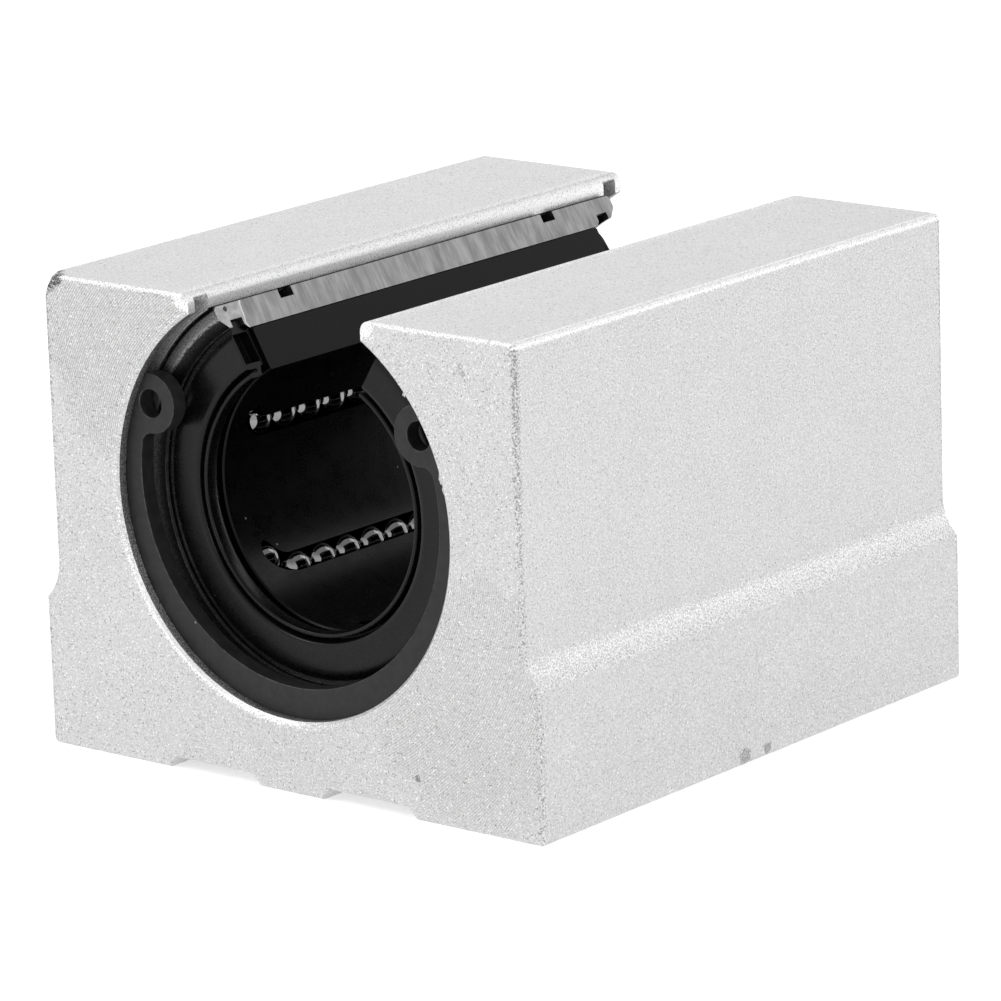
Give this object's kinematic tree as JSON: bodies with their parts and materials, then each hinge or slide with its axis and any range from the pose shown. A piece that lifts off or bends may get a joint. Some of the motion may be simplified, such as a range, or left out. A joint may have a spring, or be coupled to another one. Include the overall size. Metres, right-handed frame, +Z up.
{
  "type": "open linear bearing block",
  "caption": "Aluminium block with a slotted ball bushing that slides along a round shaft held on a rail.",
  "frame": {"origin": "bottom centre of the mounting face, which is also the bottom centre of the bounding box", "axes": "+X across the shaft, +Y along the shaft with the front end at -Y, +Z up from the mounting face to the slotted side"},
  "size_m": [0.06, 0.065, 0.046],
  "materials": {
    "housing_aluminium": "extruded aluminium with milled ends and top, blasted matte sides",
    "bearing_steel": "hardened bearing steel, ground",
    "retainer_plastic": "black moulded acetal, satin",
    "seal_rubber": "black moulded nitrile rubber, satin",
    "circlip_steel": "spring steel, phosphated dark grey",
    "screw_steel": "black oxide alloy steel",
    "ball_steel": "polished bearing steel balls"
  },
  "bodies": {
    "root": {"housing": "housing_aluminium", "outer_sleeve": "bearing_steel", "ball_retainer": "retainer_plastic", "front_seal": "seal_rubber", "rear_seal": "seal_rubber", "front_circlip": "circlip_steel", "rear_circlip": "circlip_steel", "locating_screw": "screw_steel", "loaded_balls_1": "ball_steel", "return_balls_1": "ball_steel", "front_turn_balls_1": "ball_steel", "rear_turn_balls_1": "ball_steel", "loaded_balls_2": "ball_steel", "return_balls_2": "ball_steel", "front_turn_balls_2": "ball_steel", "rear_turn_balls_2": "ball_steel", "loaded_balls_3": "ball_steel", "return_balls_3": "ball_steel", "front_turn_balls_3": "ball_steel", "rear_turn_balls_3": "ball_steel", "loaded_balls_4": "ball_steel", "return_balls_4": "ball_steel", "front_turn_balls_4": "ball_steel", "rear_turn_balls_4": "ball_steel", "loaded_balls_5": "ball_steel", "return_balls_5": "ball_steel", "front_turn_balls_5": "ball_steel", "rear_turn_balls_5": "ball_steel"}
  },
  "joints": []
}
